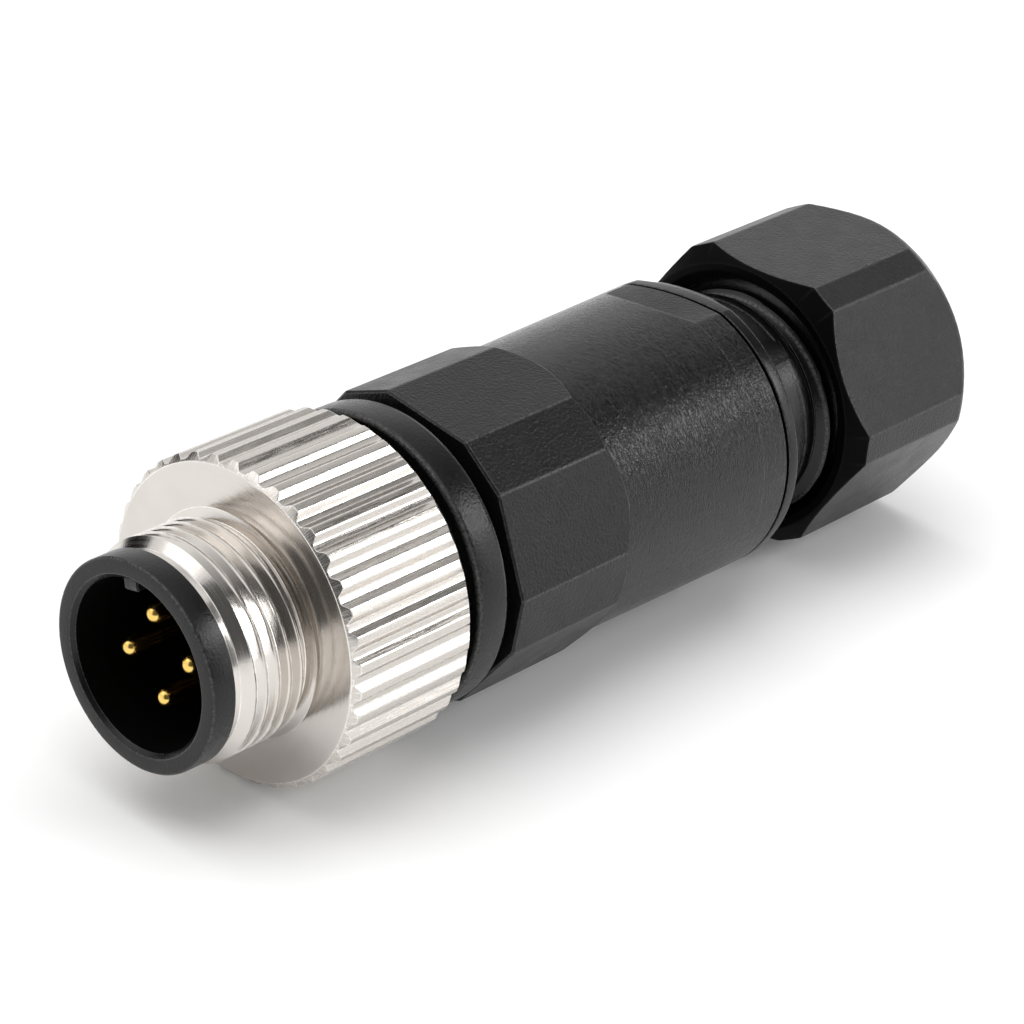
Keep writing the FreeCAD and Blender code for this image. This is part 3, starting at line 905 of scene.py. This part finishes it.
def turned_nickel():
    """Nickel over fine turning marks; its edges and thread crests are brighter, for wear and as a painted
    highlight.
    """
    material, tree, shader = new_material("turned_nickel", {"Metallic": 1.0, "Anisotropic": 0.55})
    marks = noise(tree, lathe_point(tree, along=9.0, around=0.4), scale=1.0, detail=3.0)
    blotch = noise(tree, object_point(tree), scale=0.6, detail=3.0)
    speckle = noise(tree, object_point(tree), scale=3.0, detail=3.0)
    tangent = add_node(tree, "ShaderNodeTangent", {}, direction_type="RADIAL", axis="X")
    tree.links.new(tangent.outputs[0], shader.inputs["Tangent"])
    tree.links.new(varied(tree, marks, low=0.11, high=0.20), shader.inputs["Roughness"])
    worn_and_highlit = mixed(tree, edge_wear_and_highlight(tree, speckle), mixed(tree, blotch, *NICKEL_TURNED), NICKEL_WORN_AND_HIGHLIT)
    tree.links.new(worn_and_highlit, shader.inputs["Base Color"])
    bumped(tree, shader, [(marks, 0.3, 0.006), (blotch, 0.2, 0.02), (speckle, 0.2, 0.008)])
    return material


def knurled_nickel():
    """Nickel over a rolled knurl: streaks along the teeth, grain, and edges brighter for wear and as a
    painted highlight.
    """
    material, tree, shader = new_material("knurled_nickel", {"Metallic": 1.0})
    streaks = noise(tree, lathe_point(tree, along=0.6, around=110.0), scale=1.0, detail=3.0)
    grain = noise(tree, object_point(tree), scale=6.0, detail=3.0)
    tree.links.new(varied(tree, streaks, low=0.18, high=0.34), shader.inputs["Roughness"])
    # The knurled nickel's darker shades are partly painted shade for the shaded floor it reflects
    worn_and_highlit = mixed(tree, edge_wear_and_highlight(tree, grain), mixed(tree, grain, *NICKEL_KNURLED_AND_SHADED), NICKEL_WORN_AND_HIGHLIT)
    tree.links.new(worn_and_highlit, shader.inputs["Base Color"])
    bumped(tree, shader, [(streaks, 0.5, 0.014), (grain, 0.4, 0.010)])
    return material


def gold():
    material, tree, shader = new_material("gold_plate", {"Metallic": 1.0})
    grain = noise(tree, object_point(tree), scale=2.5)
    tree.links.new(varied(tree, grain, low=0.18, high=0.26), shader.inputs["Roughness"])
    tree.links.new(mixed(tree, grain, *GOLD), shader.inputs["Base Color"])
    bumped(tree, shader, [(grain, 0.1, 0.003)])
    return material


def steel(name, shade):
    material, tree, shader = new_material(name, {"Metallic": 1.0})
    grain = noise(tree, object_point(tree), scale=8.0, detail=3.0)
    tree.links.new(varied(tree, grain, low=0.24, high=0.40), shader.inputs["Roughness"])
    tree.links.new(mixed(tree, grain, grey(shade), grey(shade * 0.8)), shader.inputs["Base Color"])
    bumped(tree, shader, [(grain, 0.2, 0.006)])
    return material


def moulding(name, shade, roughness, grain_scale, grain_height, specular=0.32, edge_shade=0.08):
    """Moulded plastic with a grain (per mm, and its height in mm); its edges are lighter, for slight wear
    and as a painted highlight.
    """
    material, tree, shader = new_material(name, {"Specular IOR Level": specular})
    point = object_point(tree)
    grain = noise(tree, point, scale=grain_scale, detail=3.0)
    wave = noise(tree, point, scale=0.7, detail=3.0)
    matt = varied(tree, wave, low=roughness - 0.04, high=roughness + 0.05)
    tree.links.new(matt, shader.inputs["Roughness"])
    plain = mixed(tree, grain, grey(shade * 0.7), grey(shade * 1.3))
    worn_and_highlit = mixed(tree, edge_wear_and_highlight(tree, grain), plain, grey(edge_shade))
    tree.links.new(worn_and_highlit, shader.inputs["Base Color"])
    bumped(tree, shader, [(grain, 0.6, grain_height)])
    return material


def barrel_moulding():
    """Black plastic with a fine leathery grain that sparkles in the light."""
    material, tree, shader = new_material("barrel_black", {"Specular IOR Level": 0.4})
    around_axis = lathe_point(tree, along=6.5, around=22.0)
    creases = noise(tree, around_axis, scale=1.0, detail=2.0, distortion=1.4)
    grain = noise(tree, object_point(tree), scale=11.0, detail=2.0)
    tree.links.new(varied(tree, creases, low=0.17, high=0.24), shader.inputs["Roughness"])
    plain = mixed(tree, grain, grey(0.001), grey(0.003))
    # Edges are lighter, for wear and as a painted highlight
    worn_and_highlit = mixed(tree, edge_wear_and_highlight(tree, grain), plain, grey(0.05))
    tree.links.new(worn_and_highlit, shader.inputs["Base Color"])
    bumped(tree, shader, [(creases, 1.0, 0.05), (grain, 0.6, 0.010)])
    return material


def glowing_material(name, shade):
    """A matt grey material and its parts; how much it glows is left to its emission strength."""
    return new_material(name, {
        "Base Color": (*grey(shade), 1), "Roughness": 1.0, "Specular IOR Level": 0.0,
        "Emission Color": (1, 1, 1, 1)})


def make_camera():
    data = bpy.data.cameras.new("photo_camera")
    data.sensor_width = CAMERA_SENSOR
    data.lens = CAMERA_LENS
    data.clip_start = 0.01
    data.clip_end = 10
    camera = bpy.data.objects.new("photo_camera", data)
    camera.location = Vector(CAMERA_PLACE_MM) * MM
    camera.rotation_euler = [math.radians(a) for a in CAMERA_TURN]
    bpy.context.scene.collection.objects.link(camera)
    bpy.context.scene.camera = camera


def add_facing(name, data, azimuth, elevation, distance):
    """Object that faces the connector from a direction; azimuth 0 lies towards -Y and 90 towards +X."""
    a, e = math.radians(azimuth), math.radians(elevation)
    towards = Vector((math.sin(a) * math.cos(e), -math.cos(a) * math.cos(e), math.sin(e)))
    thing = bpy.data.objects.new(name, data)
    thing.rotation_mode = "QUATERNION"
    thing.location = Vector(STUDIO_MIDDLE) + towards * distance
    thing.rotation_quaternion = towards.to_track_quat("Z", "Y")
    bpy.context.scene.collection.objects.link(thing)
    return thing


def make_lamp(name, azimuth, elevation, distance, width, height, radiance, in_reflections=True):
    """Rectangular lamp; its energy gives its face that radiance."""
    data = bpy.data.lights.new(name, "AREA")
    data.shape = "RECTANGLE"
    data.size = width
    data.size_y = height
    data.energy = radiance * 4 * width * height
    lamp = add_facing(name, data, azimuth, elevation, distance)
    lamp.visible_glossy = in_reflections


def make_flag(name, azimuth, elevation, distance, width, height, shades):
    """Studio card that only shiny surfaces see, graded between two shades along its width."""
    material, tree, shader = glowing_material(name, shade=0)
    across = add_node(tree, "ShaderNodeSeparateXYZ", {0: object_point(tree)}).outputs["X"]
    edge = width / 2 / MM
    tree.links.new(ranged(tree, across, -edge, edge, *shades), shader.inputs["Emission Strength"])
    mesh = bpy.data.meshes.new(name)
    w, h = width / 2, height / 2
    mesh.from_pydata([(-w, -h, 0), (w, -h, 0), (w, h, 0), (-w, h, 0)], [], [(0, 1, 2, 3)])
    mesh.materials.append(material)
    card = add_facing(name, mesh, azimuth, elevation, distance)
    card.visible_camera = False
    card.visible_diffuse = False
    card.visible_shadow = False
    card.visible_transmission = False


def direct_view(tree):
    """1 for rays from the camera, from shiny surfaces and through glass, and 0 for the rest."""
    path = add_node(tree, "ShaderNodeLightPath", {})
    total = path.outputs["Is Camera Ray"]
    for name in ("Is Glossy Ray", "Is Transmission Ray"):
        total = calculated(tree, "MAXIMUM", total, path.outputs[name])
    return total


def make_world(level):
    """White world, at full strength for direct views and at a lower level for the light that it gives."""
    world = bpy.data.worlds.new("studio")
    bpy.context.scene.world = world
    world.use_nodes = True
    tree = world.node_tree
    background = tree.nodes["Background"]
    background.inputs["Color"].default_value = (1, 1, 1, 1)
    tree.links.new(ranged(tree, direct_view(tree), 0, 1, level, 1.0), background.inputs["Strength"])


def make_floor(lift):
    """Pale floor under the connector.

    lift is what it gives off for direct views, so that it reads as white.
    """
    material, tree, shader = glowing_material("studio_floor", shade=0.9)
    tree.links.new(ranged(tree, direct_view(tree), 0, 1, 0.0, lift), shader.inputs["Emission Strength"])
    bm = bmesh.new()
    bmesh.ops.create_circle(bm, cap_ends=True, segments=FLOOR_SIDES, radius=FLOOR_R)
    mesh = bpy.data.meshes.new("studio_floor")
    bm.to_mesh(mesh)
    bm.free()
    mesh.materials.append(material)
    floor = bpy.data.objects.new("studio_floor", mesh)
    floor.location.z = cad_box[0].z
    bpy.context.scene.collection.objects.link(floor)


gold_plate = gold()
carrier = moulding("carrier_black", shade=0.003, roughness=0.28, grain_scale=6.0, grain_height=0.025)
# Cavity walls and floor: darker and less glossy than the carrier, as painted shade in the recess
painted_cavity_shade = moulding("cavity_painted_shade", shade=0.001, roughness=0.6, grain_scale=7.0, grain_height=0.008,
                  specular=0.1, edge_shade=0.002)
collar_black = moulding("collar_black", shade=0.003, roughness=0.26, grain_scale=6.5, grain_height=0.035)
grip_black = moulding("grip_black", shade=0.004, roughness=0.32, grain_scale=6.0, grain_height=0.08)
gland_black = moulding("gland_black", shade=0.002, roughness=0.24, grain_scale=6.0, grain_height=0.025)
nut_black = moulding("nut_black", shade=0.014, roughness=0.34, grain_scale=6.0, grain_height=0.09)
# Nut's front faces and mouth: darker and duller than the nut, as painted shade where they lie in shadow
mouth_painted_shade = moulding("mouth_painted_shade", shade=0.001, roughness=0.5, grain_scale=7.0, grain_height=0.008,
                       specular=0.05, edge_shade=0.01)
cage_grey = moulding("cage_grey", shade=0.09, roughness=0.45, grain_scale=5.0, grain_height=0.010,
                     specular=0.5, edge_shade=0.12)
seal_black = moulding("seal_black", shade=0.014, roughness=0.55, grain_scale=4.0, grain_height=0.010,
                      specular=0.4, edge_shade=0.02)
spring_steel = steel("spring_steel", shade=0.35)
screw_steel = steel("screw_steel", shade=0.55)

make_coupling_ring(turned_nickel(), knurled_nickel())
make_contact_insert(carrier, painted_cavity_shade)
make_contact_pins(gold_plate)
make_collar(collar_black)
make_front_seal(seal_black)
make_housing(grip_black, barrel_moulding())
make_gland_body(gland_black)
make_gland_nut(nut_black, mouth_painted_shade)
make_round_ring("gland_seal", "housing", [
    (GRIP_FRONT, CABLE_R), (GRIP_FRONT, RUBBER_R, RUBBER_EDGE), (GRIP_BACK, RUBBER_R, RUBBER_EDGE),
    (GRIP_BACK, CABLE_R, CABLE_EDGE)], seal_black)
make_round_ring("pressure_ring", "pressure_ring", [
    (PRESS_FRONT, PRESS_HOLE_R, PRESS_EDGE), (PRESS_FRONT, PRESS_R, PRESS_EDGE),
    (PRESS_BACK, PRESS_R, PRESS_EDGE), (PRESS_BACK, PRESS_HOLE_R, PRESS_EDGE)], cage_grey)
dress_node("retaining_ring", spring_steel)
dress_node("rear_seal", seal_black)
dress_node("clamp_cage", cage_grey)
for number in range(PIN_COUNT):
    dress_node(f"terminal_screw_{number + 1}", screw_steel)

make_camera()
make_world(level=0.42)
make_floor(lift=0.06)
make_lamp("top_lamp", azimuth=-150, elevation=80, distance=0.5, width=0.55, height=0.55, radiance=2.0,
          in_reflections=False)
make_lamp("right_lamp", azimuth=44, elevation=19, distance=0.45, width=0.17, height=0.32, radiance=1.6)
make_lamp("right_upper_lamp", azimuth=46, elevation=30, distance=0.44, width=0.17, height=0.13,
          radiance=3.6)
make_lamp("back_left_lamp", azimuth=-128, elevation=42, distance=0.45, width=0.26, height=0.18,
          radiance=0.6)
make_flag("right_flag", azimuth=46, elevation=27, distance=0.55, width=1.10, height=0.62, shades=(0.2, 0.2))
make_flag("camera_flag", azimuth=-55, elevation=24, distance=0.45, width=0.52, height=0.56,
          shades=(0.1, 0.1))
make_flag("back_flag", azimuth=180, elevation=4, distance=0.45, width=0.36, height=0.30, shades=(0.0, 0.0))
make_flag("gap_flag", azimuth=98, elevation=48, distance=0.45, width=0.42, height=0.20, shades=(0.0, 0.9))
bpy.context.scene.view_settings.view_transform = "Standard"
